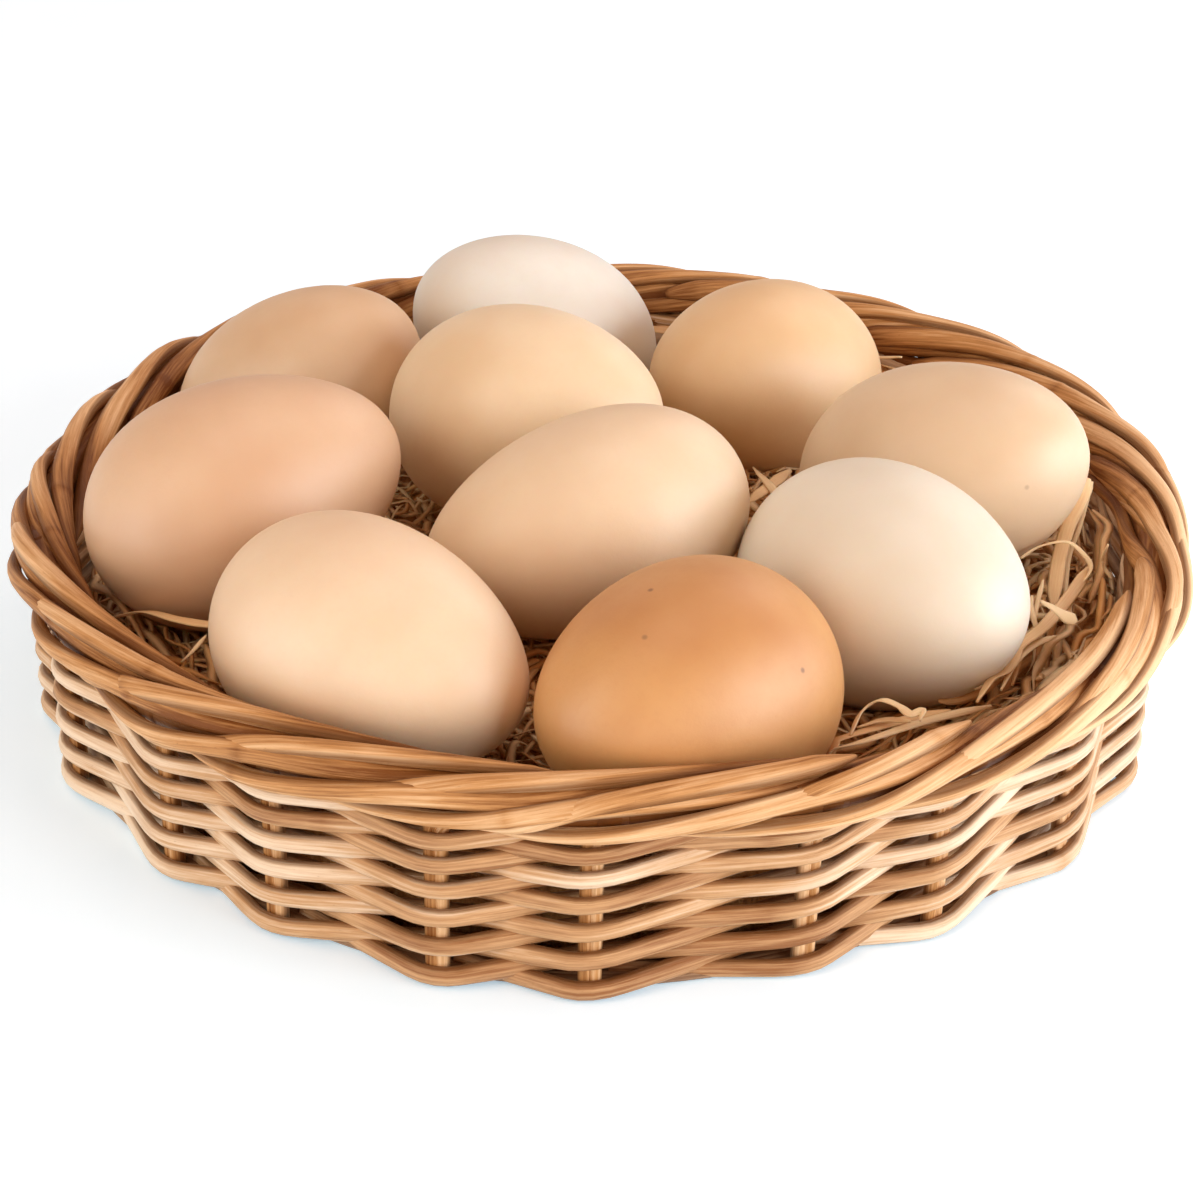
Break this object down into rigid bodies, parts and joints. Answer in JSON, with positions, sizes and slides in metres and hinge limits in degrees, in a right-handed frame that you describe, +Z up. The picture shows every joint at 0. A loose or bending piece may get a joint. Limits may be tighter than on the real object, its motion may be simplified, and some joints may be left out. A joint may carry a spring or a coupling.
{
  "type": "wicker tray of eggs",
  "caption": "Round shallow woven wicker tray with a rolled rim, holding whole hen's eggs bedded on wood wool.",
  "frame": {"origin": "centre of the round foot, on the surface the tray stands on", "axes": "+Z up, -Y towards the front, where the lone orange-brown egg lies at the rim, +X to the right"},
  "size_m": [0.2201, 0.2211, 0.0659],
  "materials": {
    "base_wicker": "matt split willow",
    "weaver_willow": "satin peeled willow rod",
    "border_willow": "satin peeled willow rod, a little browner than the weavers",
    "wood_wool": "dry thin curled shavings",
    "shell_pinkish_white": "eggshell, fine pores, soft sheen",
    "shell_tan": "eggshell, fine pores, soft sheen",
    "shell_peach": "eggshell, fine pores, soft sheen",
    "shell_orange_tan": "eggshell, fine pores, soft sheen",
    "shell_cream_tan": "eggshell, fine pores, soft sheen",
    "shell_pinkish_tan": "eggshell, fine pores, soft sheen",
    "shell_light_peach": "eggshell, fine pores, soft sheen",
    "shell_creamy_white": "eggshell, fine pores, soft sheen",
    "shell_peach_tan": "eggshell, fine pores, soft sheen",
    "shell_orange_brown": "eggshell, fine pores, soft sheen"
  },
  "bodies": {
    "root": {"base": "base_wicker", "weaver_01": "weaver_willow", "weaver_02": "weaver_willow", "weaver_03": "weaver_willow", "weaver_04": "weaver_willow", "weaver_05": "weaver_willow", "weaver_06": "weaver_willow", "weaver_07": "weaver_willow", "weaver_08": "weaver_willow", "weaver_09": "weaver_willow", "weaver_10": "weaver_willow", "weaver_11": "weaver_willow", "weaver_12": "weaver_willow", "weaver_13": "weaver_willow", "weaver_14": "weaver_willow", "weaver_15": "weaver_willow", "weaver_16": "weaver_willow", "weaver_17": "weaver_willow", "weaver_18": "weaver_willow", "weaver_19": "weaver_willow", "weaver_20": "weaver_willow", "weaver_21": "weaver_willow", "weaver_22": "weaver_willow", "weaver_23": "weaver_willow", "stake_01": "border_willow", "stake_02": "border_willow", "stake_03": "border_willow", "stake_04": "border_willow", "stake_05": "border_willow", "stake_06": "border_willow", "stake_07": "border_willow", "stake_08": "border_willow", "stake_09": "border_willow", "stake_10": "border_willow", "stake_11": "border_willow", "stake_12": "border_willow", "stake_13": "border_willow", "stake_14": "border_willow", "stake_15": "border_willow", "stake_16": "border_willow", "stake_17": "border_willow", "stake_18": "border_willow", "stake_19": "border_willow", "stake_20": "border_willow", "stake_21": "border_willow", "stake_22": "border_willow", "stake_23": "border_willow", "wood_wool_bed": "wood_wool", "egg_back": "shell_pinkish_white", "egg_back_left": "shell_tan", "egg_middle_back": "shell_peach", "egg_back_right": "shell_orange_tan", "egg_right": "shell_cream_tan", "egg_left": "shell_pinkish_tan", "egg_middle": "shell_light_peach", "egg_front_right": "shell_creamy_white", "egg_front_left": "shell_peach_tan", "egg_front": "shell_orange_brown"}
  },
  "joints": []
}
